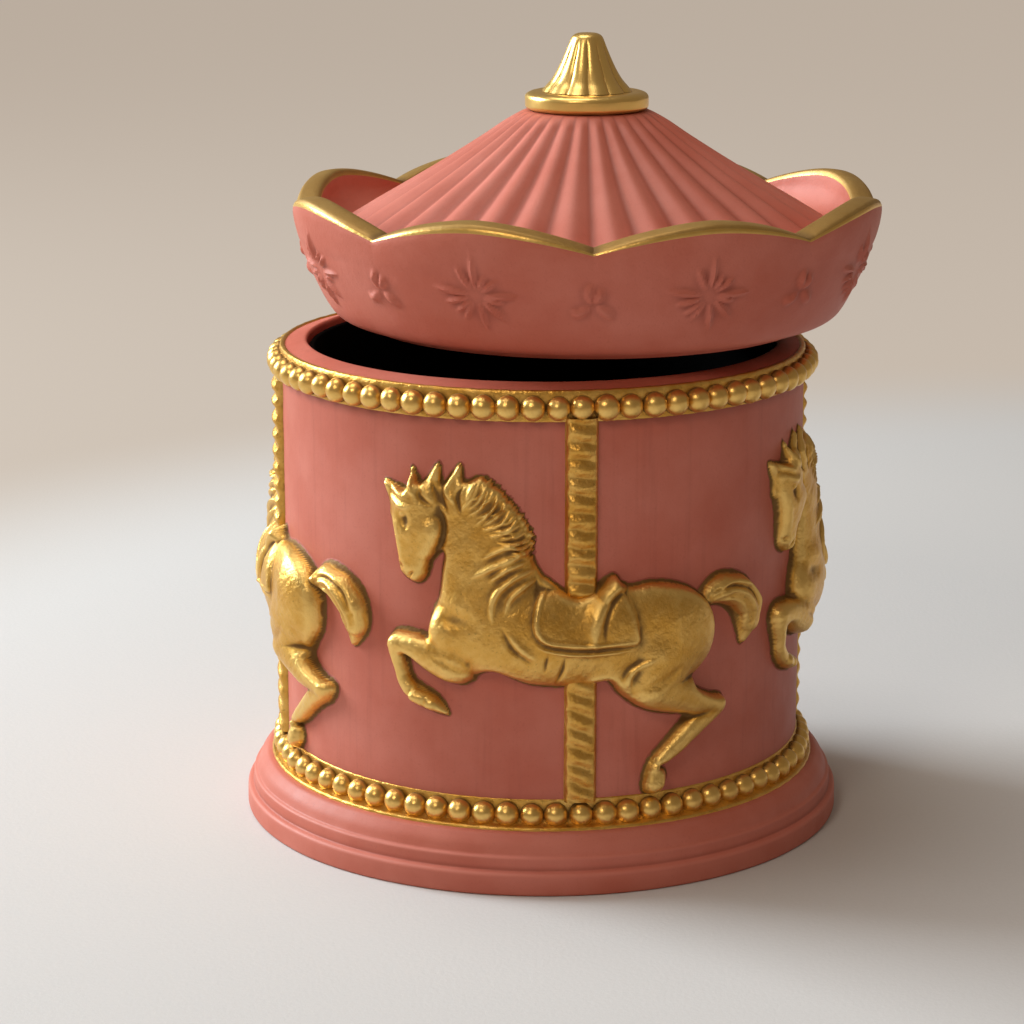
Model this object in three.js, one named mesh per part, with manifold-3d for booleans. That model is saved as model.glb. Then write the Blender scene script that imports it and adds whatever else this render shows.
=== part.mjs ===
// A wind-up carousel music box: a round trinket box with a lift-off lid, four horses in
// relief round the drum, and a wind-up musical movement under the trinket well.
// Millimetres, +Z up. The drum's axis is the Z axis and the foot stands on z = 0.
// The lid is stored ajar, pushed aside and raised, as it stands over a well that is in use.

import * as THREE from 'three';
import { mergeVertices } from 'three/addons/utils/BufferGeometryUtils.js';
import { ConvexGeometry } from 'three/addons/geometries/ConvexGeometry.js';
import Module from 'manifold-3d';

const wasm = await Module();
wasm.setup();

// ---------------------------------------------------------------- driving dimensions

const GAP = 0.3; // clearance between pieces that touch
const ROUND = 48; // facets round the box
const SMALL_ROUND = 12; // facets round pins, screws and shafts

const WALL_RADIUS = 60.5; // outside of the drum
const WALL_INNER = 55.4;
const PLINTH_RADIUS = 70;
const PLINTH_TOP = 13;
const DRUM_TOP = 111.5; // inner edge of the sloping flange
const FLANGE_OUTER = 60;
const FLANGE_DROP = 1.5; // the flange falls this much towards its outer edge
const WELL_RADIUS = 54.1;
const WELL_FLOOR = 49.8; // underside of the well's lining
const RELIEF_RADIUS = WALL_RADIUS + 0.35; // inner face of everything applied to the wall

const BEADS = 72;
const BEAD_DIAMETER = 5.3;
const BEAD_OUTER = 63.8;
const UPPER_BEAD_Z = 106.75;
const LOWER_BEAD_Z = PLINTH_TOP + GAP + BEAD_DIAMETER / 2;

const HORSES = 4;
const FIRST_POLE_ANGLE = 7.5; // degrees from the front, towards +X
const POLE_WIDTH = 7;
const POLE_RELIEF = 2.6;

const LID_SHIFT = 10; // the lid's axis stands this far to +X
const LID_BOTTOM = 117; // its underside, in the stored pose
const SCALLOPS = 8;
const RIM_VALLEY = 24; // heights and radii over the lid's underside
const RIM_PEAK = 29.2;
const RIM_SWELL = 1.6; // the rim is this much wider at a peak
const FLUTES = 32;
const FLUTE_DEPTH = 0.022; // of the radius

const FOOT_RADIUS = 66.2;
const FELT_THICKNESS = 1.2;
const PLATE_BOTTOM = 1.5;
const PLATE_TOP = 3.3;
const KEY_Y = 24; // the winding arbor stands behind the axis
const KEY_WELL_RADIUS = 20;
const KEY_WELL_TOP = 10.2;
const BASE_SCREW_RADIUS = 61.5;

const BED_BOTTOM = 13.6;
const BED_TOP = 15.4;
const TRAIN_Z = 34; // height of the cylinder's axis
const ARBOR_RADIUS = 2;
const SHAFT_RADIUS = 1.2;
const CROWN_RADIUS = 14.4;
const CROWN_TEETH = 24;
const CROWN_PITCH_RADIUS = 13.2;
const CYLINDER_RADIUS = 7;
const WHEEL_PITCH_RADIUS = 9; // 30 teeth on the cylinder's wheel
const PINION_PITCH_RADIUS = 3; // 10 teeth on the intermediate pinion
const INTERMEDIATE_X = -(WHEEL_PITCH_RADIUS + PINION_PITCH_RADIUS);
const WORM_WHEEL_RADIUS = 6; // 16 teeth
const WORM_X = INTERMEDIATE_X - WORM_WHEEL_RADIUS - 1.9;
const WORM_Y = -18.75;
const MOVEMENT_POSTS = [[-21, -6], [26, -18], [27, 35]];
const COMB_SCREWS = [[21, -6], [21, 2]];

// ---------------------------------------------------------------- materials

const finish = (color, roughness, metalness) => () =>
  new THREE.MeshStandardMaterial({ color, roughness, metalness });

const PINK = finish(0xb8756a, 0.55, 0);
const GOLD = finish(0xb08840, 0.4, 0.8);
const BRIGHT_GOLD = finish(0xd9ac4e, 0.25, 1);
const FLOCK = finish(0x0c0a0a, 0.95, 0);
const FELT = finish(0x3a2420, 0.95, 0);
const BOARD = finish(0x5a4a3c, 0.8, 0);
const STEEL = finish(0x9a9ca0, 0.35, 1);
const BRASS = finish(0xc2a050, 0.35, 1);

// ---------------------------------------------------------------- solid helpers

const rad = THREE.MathUtils.degToRad;

// A closed geometry with shared corners, no flat triangles, and its faces pointing out.
function weld(geometry) {
  const bare = geometry.index ? geometry.toNonIndexed() : geometry.clone();
  bare.deleteAttribute('normal');
  bare.deleteAttribute('uv');
  const merged = mergeVertices(bare, 1e-4);
  const corners = merged.index.array;
  const kept = [];
  let volume = 0;
  const a = new THREE.Vector3();
  const b = new THREE.Vector3();
  const c = new THREE.Vector3();
  for (let i = 0; i < corners.length; i += 3) {
    const [p, q, r] = [corners[i], corners[i + 1], corners[i + 2]];
    if (p === q || q === r || r === p) continue;
    a.fromBufferAttribute(merged.attributes.position, p);
    b.fromBufferAttribute(merged.attributes.position, q);
    c.fromBufferAttribute(merged.attributes.position, r);
    volume += a.dot(b.clone().cross(c));
    kept.push([p, q, r]);
  }
  merged.setIndex(kept.flatMap((face) => (volume < 0 ? face.reverse() : face)));
  return merged;
}

function solid(geometry) {
  const welded = weld(geometry);
  return new wasm.Manifold(new wasm.Mesh({
    numProp: 3,
    vertProperties: new Float32Array(welded.attributes.position.array),
    triVerts: new Uint32Array(welded.index.array),
  }));
}

function surface(manifold) {
  const result = manifold.getMesh();
  const geometry = new THREE.BufferGeometry();
  geometry.setAttribute('position', new THREE.BufferAttribute(result.vertProperties, 3));
  geometry.setIndex(new THREE.BufferAttribute(result.triVerts, 1));
  return geometry;
}

function cut(geometry, ...tools) {
  return surface(tools.reduce((body, tool) => body.subtract(solid(tool)), solid(geometry)));
}

function join(...geometries) {
  return surface(geometries.map(solid).reduce((body, piece) => body.add(piece)));
}

// A solid of revolution about Z from [radius, height] points. The points either start and
// end on the axis, or go once round the section of a ring.
function turned(points, segments = ROUND) {
  const profile = points.map(([radius, height]) => new THREE.Vector2(radius, height));
  const onAxis = points[0][0] === 0;
  if (!onAxis) profile.push(profile[0].clone());
  return weld(new THREE.LatheGeometry(profile, segments).rotateX(Math.PI / 2));
}

// Moves each corner of a turned solid to a new [radius, height], worked out from its angle
// round the axis (0 at the front, growing towards +X), its radius and its height.
function carved(geometry, shape) {
  const position = geometry.attributes.position;
  for (let i = 0; i < position.count; i += 1) {
    const x = position.getX(i);
    const y = position.getY(i);
    const angle = Math.atan2(x, -y);
    const [radius, height] = shape(angle, Math.hypot(x, y), position.getZ(i));
    position.setXYZ(i, radius * Math.sin(angle), -radius * Math.cos(angle), height);
  }
  return geometry;
}

function post(radius, bottom, top, x = 0, y = 0, segments = SMALL_ROUND) {
  const geometry = new THREE.CylinderGeometry(radius, radius, top - bottom, segments);
  return geometry.rotateX(Math.PI / 2).translate(x, y, (top + bottom) / 2);
}

// A round bar along Y at the height of the cylinder's axis.
function crossBar(radius, fromY, toY, x = 0) {
  const geometry = new THREE.CylinderGeometry(radius, radius, toY - fromY, SMALL_ROUND);
  return geometry.translate(x, (fromY + toY) / 2, TRAIN_Z);
}

function block([x0, y0, z0], [x1, y1, z1]) {
  const geometry = new THREE.BoxGeometry(x1 - x0, y1 - y0, z1 - z0);
  return geometry.translate((x0 + x1) / 2, (y0 + y1) / 2, (z0 + z1) / 2);
}

function disc(radius, bottom, top, segments = ROUND) {
  return turned([[0, bottom], [radius, bottom], [radius, top], [0, top]], segments);
}

function tube(inner, outer, bottom, top, segments = ROUND) {
  return turned([[inner, bottom], [outer, bottom], [outer, top], [inner, top]], segments);
}

const box = new THREE.Group();

function add(parent, name, geometry, material) {
  const mesh = new THREE.Mesh(geometry, material());
  mesh.name = name;
  parent.add(mesh);
}

// ---------------------------------------------------------------- plinth and drum

function plinth() {
  const ring = turned([
    [57, PLATE_TOP + GAP], [FOOT_RADIUS + GAP, PLATE_TOP + GAP], [FOOT_RADIUS + GAP, 0],
    [PLINTH_RADIUS, 0], [PLINTH_RADIUS, 5.4], [68.6, 6.4], [68.4, 8.4], [64.8, PLINTH_TOP],
    [57, PLINTH_TOP],
  ]);
  const holes = baseScrews().map(([x, y]) => post(1.5, PLATE_TOP, 10, x, y));
  return cut(ring, ...holes);
}

function baseScrews() {
  return [45, 135, 225, 315].map((angle) => [
    BASE_SCREW_RADIUS * Math.cos(rad(angle)),
    BASE_SCREW_RADIUS * Math.sin(rad(angle)),
  ]);
}

function drumShell() {
  return turned([
    [WALL_INNER, PLINTH_TOP + GAP], [WALL_RADIUS, PLINTH_TOP + GAP], [WALL_RADIUS, 108.8],
    [FLANGE_OUTER, 109.3], [FLANGE_OUTER, DRUM_TOP - FLANGE_DROP], [WELL_RADIUS, DRUM_TOP],
    [WELL_RADIUS, 104], [WALL_INNER, 102.5],
  ]);
}

// Half-sunk beads in a row round the wall: the ring is full at a bead, thin between two.
function beadRing(middle) {
  const half = BEAD_DIAMETER / 2;
  const ring = turned([
    [RELIEF_RADIUS, middle - half], [BEAD_OUTER, middle], [RELIEF_RADIUS, middle + half],
  ], BEADS * 2);
  return carved(ring, (angle, radius, height) => {
    const isCrest = Math.cos(angle * BEADS) > 0;
    const outside = radius > RELIEF_RADIUS + 1;
    return [outside && !isCrest ? radius - 1.2 : radius, height];
  });
}

function buildShell() {
  add(box, 'plinth', plinth(), PINK);
  add(box, 'drum_shell', drumShell(), PINK);
  add(box, 'lower_bead_ring', beadRing(LOWER_BEAD_Z), GOLD);
  add(box, 'upper_bead_ring', beadRing(UPPER_BEAD_Z), GOLD);
  add(box, 'well_floor', disc(WALL_INNER - GAP, WELL_FLOOR - 2.3, WELL_FLOOR - GAP, 36), BOARD);
  const lining = turned([
    [0, WELL_FLOOR], [53.8, WELL_FLOOR], [53.8, 109.8], [52.6, 109.8],
    [52.6, WELL_FLOOR + 1.2], [0, WELL_FLOOR + 1.2],
  ], 36);
  add(box, 'well_liner', lining, FLOCK);
}

// ---------------------------------------------------------------- horses and poles

// The horse looks to -X and is drawn on the unrolled wall. Each station is the arc length
// from the pole, the height over the foot, the half width and how far it stands out.
const HORSE_LIMBS = {
  body: [[-23, 57.5, 10.5, 5], [-10, 56.5, 11.3, 5.5], [5, 55.8, 10.5, 5], [19, 56, 12, 6.5]],
  neck: [[-22, 62, 11, 5], [-23, 82, 9.5, 4.5]],
  head: [[-34, 84, 7, 4.5], [-37, 70.3, 4, 3.5]],
  forelock: [[-36, 86.5, 3, 3], [-44, 88.6, 0.8, 1.5]],
  mane_front: [[-33, 86, 3, 3], [-31.4, 93, 0.8, 1.5]],
  mane_back: [[-26, 87, 4, 3.5], [-23, 91.5, 1.6, 2]],
  fore_leg: [[-28, 52, 6, 5], [-40.5, 52.8, 3.2, 4.5], [-41, 46, 2.1, 3],
    [-38, 42.2, 2.2, 3], [-32.5, 40, 2.6, 3.5]],
  hind_leg: [[18, 52, 11.5, 6.5], [15.5, 44.5, 7, 6], [32, 38.2, 3.3, 4], [19, 27.6, 2.5, 3],
    [16.8, 22, 2.9, 3.5]],
  tail: [[28.5, 61.5, 2, 3], [35, 63.4, 3.6, 4], [42.5, 59.5, 4.2, 4], [41.5, 51, 1, 1.5]],
};

// A point of the unrolled wall, wrapped round the drum at a distance from its face.
function wrapped(along, height, out, turn) {
  const angle = along / WALL_RADIUS + rad(turn);
  const radius = WALL_RADIUS + out;
  return new THREE.Vector3(radius * Math.sin(angle), -radius * Math.cos(angle), height);
}

// A round boss on the wall, narrower at its top than at the wall.
function bossPoints([along, height, half, out], turn) {
  const points = [];
  const sides = 6;
  for (let i = 0; i < sides; i += 1) {
    const angle = i * 2 * Math.PI / sides;
    const [dx, dz] = [half * Math.cos(angle), half * Math.sin(angle)];
    points.push(wrapped(along + dx, height + dz, -0.8, turn));
    points.push(wrapped(along + 0.6 * dx, height + 0.6 * dz, out, turn));
  }
  return points;
}

function horse(turn) {
  const pieces = [];
  for (const stations of Object.values(HORSE_LIMBS)) {
    for (let i = 1; i < stations.length; i += 1) {
      const hull = [...bossPoints(stations[i - 1], turn), ...bossPoints(stations[i], turn)];
      pieces.push(new ConvexGeometry(hull));
    }
  }
  return cut(join(...pieces), disc(RELIEF_RADIUS, 0, DRUM_TOP));
}

function pole(bottom, top, turn) {
  const section = new THREE.Shape();
  section.absellipse(0, 0, POLE_WIDTH / 2, POLE_RELIEF, Math.PI, 2 * Math.PI, false);
  const bar = new THREE.ExtrudeGeometry(section, {
    depth: top - bottom, bevelEnabled: false, curveSegments: 8,
  });
  const angle = rad(turn);
  const reach = RELIEF_RADIUS + 0.1;
  bar.translate(0, -reach, bottom);
  return weld(bar.rotateZ(angle));
}

function buildHorses() {
  for (let i = 0; i < HORSES; i += 1) {
    const turn = FIRST_POLE_ANGLE + i * 360 / HORSES;
    add(box, `horse_${i + 1}`, horse(turn), GOLD);
    add(box, `pole_upper_${i + 1}`, pole(67.2, 103.6, turn), GOLD);
    add(box, `pole_lower_${i + 1}`, pole(19, 45, turn), GOLD);
  }
}

// ---------------------------------------------------------------- underside

function buildUnderside() {
  const keyHole = post(KEY_WELL_RADIUS + 0.5, -1, 2, 0, KEY_Y, 24);
  const heads = baseScrews().map(([x, y]) => post(3.1, -1, 2, x, y));
  add(box, 'felt_pad', cut(disc(FOOT_RADIUS, 0, FELT_THICKNESS), keyHole, ...heads), FELT);

  const cup = post(KEY_WELL_RADIUS + 1.5, PLATE_BOTTOM, KEY_WELL_TOP + 1.5, 0, KEY_Y, 24);
  const legs = MOVEMENT_POSTS.map(([x, y]) => post(3.5, 2, BED_BOTTOM - GAP, x, y));
  const cuts = [
    post(KEY_WELL_RADIUS, 0, KEY_WELL_TOP, 0, KEY_Y, 24),
    post(ARBOR_RADIUS + 0.4, 0, BED_BOTTOM, 0, KEY_Y),
    ...baseScrews().map(([x, y]) => post(1.5, 0, 5, x, y)),
    ...MOVEMENT_POSTS.map(([x, y]) => post(1.4, 6, BED_BOTTOM + 1, x, y)),
  ];
  const plate = join(disc(FOOT_RADIUS, PLATE_BOTTOM, PLATE_TOP), cup, ...legs);
  add(box, 'bottom_plate', cut(plate, ...cuts), BOARD);

  baseScrews().forEach(([x, y], i) => {
    const screw = join(post(2.8, 0.2, FELT_THICKNESS, x, y, 12), post(1.2, 1, 9.5, x, y, 12));
    add(box, `bottom_screw_${i + 1}`, screw, STEEL);
  });
}

// ---------------------------------------------------------------- musical movement

// A spur wheel drawn in the XZ plane round its own centre, with a tooth at the phase angle.
function gear({ teeth, root, tip, rootHalf, tipHalf, bore, fromY, toY, x = 0, phase = 0 }) {
  const outline = new THREE.Shape();
  for (let i = 0; i < teeth; i += 1) {
    const middle = rad(phase) + i * 2 * Math.PI / teeth;
    const corners = [[root, -rootHalf], [tip, -tipHalf], [tip, tipHalf], [root, rootHalf]];
    corners.forEach(([radius, half], corner) => {
      const angle = middle + half / radius;
      const [px, py] = [radius * Math.cos(angle), radius * Math.sin(angle)];
      if (i === 0 && corner === 0) outline.moveTo(px, py);
      else outline.lineTo(px, py);
    });
  }
  if (bore > 0) outline.holes.push(new THREE.Path().absarc(0, 0, bore, 0, 2 * Math.PI, true));
  const wheel = new THREE.ExtrudeGeometry(outline, {
    depth: toY - fromY, bevelEnabled: false, curveSegments: 12,
  });
  return weld(wheel.rotateX(Math.PI / 2).translate(x, toY, TRAIN_Z));
}

// The crown wheel stands its teeth up; a gap between two of them faces the pinion.
function crownGear() {
  const plate = tube(ARBOR_RADIUS + GAP, CROWN_RADIUS, 26.3, 27.8, CROWN_TEETH);
  const teeth = [];
  for (let i = 0; i < CROWN_TEETH; i += 1) {
    const tooth = block([12, -0.5, 27.4], [CROWN_RADIUS - 0.2, 0.5, 30.2]);
    teeth.push(tooth.rotateZ((i + 0.5) * 2 * Math.PI / CROWN_TEETH - Math.PI / 2));
  }
  return join(plate, ...teeth).translate(0, KEY_Y, 0);
}

// A two-start worm: a bar with a two-lobed section that turns as it climbs.
function worm() {
  const lead = 2 * (2 * Math.PI * WORM_WHEEL_RADIUS / 16);
  const [bottom, top] = [TRAIN_Z - 5, TRAIN_Z + 5];
  const steps = 14;
  const profile = [[0, bottom]];
  for (let i = 0; i <= steps; i += 1) profile.push([1.6, bottom + (top - bottom) * i / steps]);
  profile.push([0, top]);
  const bar = carved(turned(profile, 10), (angle, radius, height) => {
    if (radius < 0.1) return [radius, height];
    const turn = 2 * Math.PI * (height - TRAIN_Z) / lead;
    return [1.6 - 0.35 * Math.cos(2 * (angle - turn - Math.PI / 2)), height];
  });
  const shaft = post(0.7, 23.5, 46, 0, 0, 10);
  return join(bar, shaft).translate(WORM_X, WORM_Y, 0);
}

function mainspring() {
  const turns = 2.5;
  const steps = Math.round(turns * 14);
  const outer = [];
  const inner = [];
  for (let i = 0; i <= steps; i += 1) {
    const angle = i * 2 * Math.PI * turns / steps;
    const radius = 4.5 + 8 * i / steps;
    const direction = new THREE.Vector2(Math.cos(angle), Math.sin(angle));
    outer.push(direction.clone().multiplyScalar(radius + 0.4));
    inner.push(direction.clone().multiplyScalar(radius - 0.4));
  }
  const ribbon = new THREE.Shape([...outer, ...inner.reverse()]);
  const coil = new THREE.ExtrudeGeometry(ribbon, { depth: 8, bevelEnabled: false });
  return weld(coil.translate(0, KEY_Y, 16.2));
}

function comb() {
  const [bottom, top] = [TRAIN_Z - 0.6, TRAIN_Z + 0.6];
  const [from, pitch, width] = [-10.5, 0.944, 0.7];
  const plate = block([14, from, bottom], [27, from + 17 * pitch + width, top]);
  const teeth = [];
  for (let i = 0; i < 18; i += 1) {
    const start = from + i * pitch;
    teeth.push(block([7.8, start, bottom], [14.5, start + width, top]));
  }
  const holes = COMB_SCREWS.map(([x, y]) => post(1.2, 30, 40, x, y, 12));
  return cut(join(plate, ...teeth), ...holes);
}

function key() {
  const hub = post(3.6, 1.2, KEY_WELL_TOP - GAP, 0, KEY_Y);
  const wing = new THREE.Shape();
  wing.moveTo(-2, 4.4);
  wing.bezierCurveTo(-6, 10, -12, 8.5, -12, 4.6);
  wing.bezierCurveTo(-12, 0.9, -6, -0.6, -2, 4);
  wing.lineTo(2, 4);
  wing.bezierCurveTo(6, -0.6, 12, 0.9, 12, 4.6);
  wing.bezierCurveTo(12, 8.5, 6, 10, 2, 4.4);
  const blade = new THREE.ExtrudeGeometry(wing, {
    depth: 2.4, bevelEnabled: false, curveSegments: 5,
  });
  blade.rotateX(Math.PI / 2).rotateZ(Math.PI / 2).translate(-1.2, KEY_Y, 0.4);
  return cut(join(hub, blade), post(ARBOR_RADIUS + GAP, 3.7, 12, 0, KEY_Y));
}

function governorBracket() {
  const column = block([-24, -16.5, BED_TOP + GAP], [-8, -15.3, 41.5]);
  const arms = [24, 40].map((z) => block([WORM_X - 2.2, -21, z], [WORM_X + 2.2, -16, z + 1.5]));
  const bores = [
    crossBar(SHAFT_RADIUS + GAP, -25, -10, INTERMEDIATE_X),
    post(1, 20, 43, WORM_X, WORM_Y, 12),
  ];
  return cut(join(column, ...arms), ...bores);
}

function bearing(fromY, toY) {
  const plate = block([-5, fromY, BED_TOP + GAP], [5, toY, TRAIN_Z + 4]);
  return cut(plate, crossBar(SHAFT_RADIUS + GAP, fromY - 1, toY + 1));
}

function buildMovement() {
  const bed = block([-26, -24, BED_BOTTOM], [31, 40, BED_TOP]);
  const bedHoles = MOVEMENT_POSTS.map(([x, y]) => post(1.4, 12, 18, x, y));
  const arborHole = post(ARBOR_RADIUS + 0.4, 12, 18, 0, KEY_Y);
  add(box, 'movement_bedplate', cut(bed, arborHole, ...bedHoles), BRASS);
  MOVEMENT_POSTS.forEach(([x, y], i) => {
    const head = post(2.6, BED_TOP + GAP, BED_TOP + 1.8, x, y, 12);
    const screw = join(head, post(1.1, 7, BED_TOP + 1, x, y, 12));
    add(box, `movement_screw_${i + 1}`, screw, STEEL);
  });

  const barrel = turned([
    [13.3, BED_TOP + GAP], [14.5, BED_TOP + GAP], [14.5, 26], [2.6, 26], [2.6, 24.8],
    [13.3, 24.8],
  ], 24);
  add(box, 'spring_barrel', barrel.translate(0, KEY_Y, 0), BRASS);
  add(box, 'mainspring', mainspring(), STEEL);
  add(box, 'winding_arbor', post(ARBOR_RADIUS, 4, 31, 0, KEY_Y), STEEL);
  add(box, 'winding_key', key(), BRASS);
  add(box, 'crown_gear', crownGear(), BRASS);

  const pinion = gear({
    teeth: 8, root: 2.6, tip: 5.2, rootHalf: 0.55, tipHalf: 0.35, bore: 0,
    fromY: KEY_Y - CROWN_PITCH_RADIUS - 1, toY: KEY_Y - CROWN_PITCH_RADIUS + 1, phase: -90,
  });
  add(box, 'cylinder_arbor', join(crossBar(SHAFT_RADIUS, -16, 12.5), pinion), STEEL);
  const pinned = tube(SHAFT_RADIUS + GAP, CYLINDER_RADIUS, -11, 7, 24);
  add(box, 'music_cylinder', pinned.rotateX(-Math.PI / 2).translate(0, 0, TRAIN_Z), BRASS);
  add(box, 'cylinder_gear', gear({
    teeth: 30, root: 8.2, tip: 9.55, rootHalf: 0.42, tipHalf: 0.25,
    bore: SHAFT_RADIUS + GAP, fromY: -14.8, toY: -13.3, phase: 180,
  }), BRASS);
  add(box, 'cylinder_bearing_back', bearing(7.6, 9), BRASS);
  add(box, 'cylinder_bearing_front', bearing(-12.8, -11.5), BRASS);

  const combBlock = block([15, -11, BED_TOP + GAP], [27, 7, TRAIN_Z - 0.9]);
  const combHoles = COMB_SCREWS.map(([x, y]) => post(1.2, 25, TRAIN_Z, x, y, 12));
  add(box, 'comb_block', cut(combBlock, ...combHoles), BRASS);
  add(box, 'music_comb', comb(), STEEL);
  COMB_SCREWS.forEach(([x, y], i) => {
    const head = post(2.2, TRAIN_Z + 0.9, TRAIN_Z + 2.4, x, y, 12);
    const screw = join(head, post(0.9, 26, TRAIN_Z + 1.5, x, y, 12));
    add(box, `comb_screw_${i + 1}`, screw, STEEL);
  });

  const smallPinion = gear({
    teeth: 10, root: 2.2, tip: 3.5, rootHalf: 0.4, tipHalf: 0.22, bore: 0,
    fromY: -14.9, toY: -13.2, x: INTERMEDIATE_X, phase: 18,
  });
  const wormWheel = gear({
    teeth: 16, root: 5.3, tip: 6.45, rootHalf: 0.42, tipHalf: 0.28, bore: 0,
    fromY: -19.5, toY: -18, x: INTERMEDIATE_X, phase: 180,
  });
  const axle = crossBar(SHAFT_RADIUS, -20.5, -12, INTERMEDIATE_X);
  add(box, 'intermediate_wheel', join(axle, smallPinion, wormWheel), BRASS);
  add(box, 'governor_bracket', governorBracket(), BRASS);
  add(box, 'governor_worm', worm(), STEEL);
  const fly = join(
    block([WORM_X - 6, WORM_Y - 0.4, 42.2], [WORM_X + 6, WORM_Y + 0.4, 46.3]),
    post(1.9, 42.2, 46.3, WORM_X, WORM_Y),
  );
  add(box, 'governor_fly', cut(fly, post(1, 40, 48, WORM_X, WORM_Y, 10)), BRASS);
}

// ---------------------------------------------------------------- lid

// 0 in the sharp valley between two scallops, 1 on a scallop's round peak.
function scallop(angle) {
  const period = 2 * Math.PI / SCALLOPS;
  const offset = Math.abs(angle / period - Math.round(angle / period)) * 2;
  return 1 - (1 - offset) ** 1.7;
}

function lidValance() {
  const ring = turned([
    [49.5, -1.5], [51.5, -1.5], [53.2, 0], [56.3, 0.3], [58.6, 2.2], [61.1, 6.2],
    [65.4, 15.3], [66.4, RIM_VALLEY], [61.5, RIM_VALLEY - 0.2], [57.2, 20.3],
    [57, 17.5], [52.5, 17.5], [52.5, 14.5], [58, 11], [54.5, 4], [49.5, 2.5],
  ], SCALLOPS * 6);
  return carved(ring, (angle, radius, height) => {
    const part = THREE.MathUtils.clamp((height - 17.6) / (RIM_VALLEY - 17.8), 0, 1);
    if (height < 19) return [radius, height];
    const swell = part * scallop(angle);
    return [radius + RIM_SWELL * swell, height + (RIM_PEAK - RIM_VALLEY) * swell * part];
  });
}

function lidRoof() {
  const top = 46;
  const cone = turned([
    [2.4, 42], [14, 42], [52, 17.8], [56.4, 17.8], [56.4, 20.9], [42.5, 29], [24.2, 40.2],
    [15.9, 45.6], [15, top], [2.4, top],
  ], FLUTES * 2);
  const underside = (radius) => 51 - 0.6 * radius;
  return carved(cone, (angle, radius, height) => {
    const isTop = radius > 16 && height > underside(radius) + 1.5;
    const isGroove = Math.cos(angle * FLUTES) > 0;
    return [radius, isTop && isGroove ? height - FLUTE_DEPTH * 2 * radius : height];
  });
}

function buildLid() {
  const lid = new THREE.Group();
  lid.position.set(LID_SHIFT, 0, LID_BOTTOM);
  box.add(lid);
  add(lid, 'lid_valance', lidValance(), PINK);
  add(lid, 'lid_roof', lidRoof(), PINK);
  add(lid, 'lid_liner', disc(49.2, 0, 2, 36), FLOCK);
  add(lid, 'finial_ring', turned([
    [2.4, 46.3], [12.9, 46.3], [13.8, 47], [14, 48.4], [13.8, 49.9], [12.9, 50.6],
    [2.4, 50.6],
  ], 24), BRIGHT_GOLD);
  add(lid, 'finial_spire', turned([
    [0, 56.4], [2.4, 56.4], [2.4, 50.9], [10.2, 50.9], [8.5, 52.6], [6.5, 55.4],
    [5.1, 58.1], [4.1, 60.8], [3.3, 62.8], [2.2, 63.6], [0, 63.6],
  ], 16), BRIGHT_GOLD);
  add(lid, 'finial_stud', post(2, 36, 56, 0, 0, 16), STEEL);
  const nut = cut(post(4.6, 37.7, 41.7, 0, 0, 6), post(2.3, 36, 43, 0, 0, 16));
  add(lid, 'finial_nut', nut, STEEL);
}

buildShell();
buildHorses();
buildUnderside();
buildMovement();
buildLid();

export default box;
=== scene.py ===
import math

import bmesh
import bpy
import numpy as np
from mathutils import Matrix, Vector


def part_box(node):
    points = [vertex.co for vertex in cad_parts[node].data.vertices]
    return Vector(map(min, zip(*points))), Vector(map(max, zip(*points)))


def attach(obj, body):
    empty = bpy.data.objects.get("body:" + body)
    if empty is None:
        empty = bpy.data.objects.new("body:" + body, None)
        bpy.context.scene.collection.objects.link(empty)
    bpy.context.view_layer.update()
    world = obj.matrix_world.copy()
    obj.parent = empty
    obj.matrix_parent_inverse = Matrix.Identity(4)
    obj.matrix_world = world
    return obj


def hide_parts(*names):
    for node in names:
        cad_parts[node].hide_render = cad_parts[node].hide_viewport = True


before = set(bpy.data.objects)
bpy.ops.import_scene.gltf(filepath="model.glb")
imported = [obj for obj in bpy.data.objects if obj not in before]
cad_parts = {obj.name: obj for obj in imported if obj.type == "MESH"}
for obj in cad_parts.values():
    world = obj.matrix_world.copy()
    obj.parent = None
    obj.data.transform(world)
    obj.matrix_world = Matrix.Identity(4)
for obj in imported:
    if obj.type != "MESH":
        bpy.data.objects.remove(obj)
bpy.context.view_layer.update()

# Every table below is in millimetres, in the frame of the CAD model: +Z up, the drum's axis on Z
# and the front towards -Y. An angle round an axis is measured from the front towards +X.
MM = 0.001
TURN = 2 * math.pi


# ---------------------------------------------------------------- places taken from the CAD


def span(node):
    """The lowest and the highest corner of a CAD node, in millimetres."""
    low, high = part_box(node)
    return np.array(low) / MM, np.array(high) / MM


drum_low, drum_high = span("drum_shell")
liner_low, liner_high = span("well_liner")
upper_low, upper_high = span("upper_bead_ring")
valance_low, valance_high = span("lid_valance")

PLINTH_TOP = span("plinth")[1][2]
WALL = drum_high[0]
DRUM_TOP = drum_high[2]
UPPER_BEAD_Z = (upper_low[2] + upper_high[2]) / 2
LID_X = (valance_low[0] + valance_high[0]) / 2
LIP_DROP = 1.5  # the lid's lowest point lies this far under 0 in the lid's tables
LID_Z = valance_low[2] + LIP_DROP

HORSES = 4
FIRST_POLE_ANGLE = math.radians(7.5)
RELIEF_GAUGE = 61.0  # the radius at which the reliefs' x is measured along the wall
BEADS = 72
BEAD_RADIUS = 2.78
BEAD_CENTRE = 61.05
SCALLOPS = 8
SCALLOP_FOOT = 17.6  # the level on the lid where the scallops begin
SCALLOP_REACH = 6.2  # how far over that level they are at their full size
SCALLOP_OUT = 1.6
SCALLOP_UP = 5.2
ORNAMENT_RADIUS = 63.5
ORNAMENT_LEVEL = 13.6
FLUTES = 32
FINIAL_FOLDS = 12


# ---------------------------------------------------------------- numbers and curves


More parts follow.
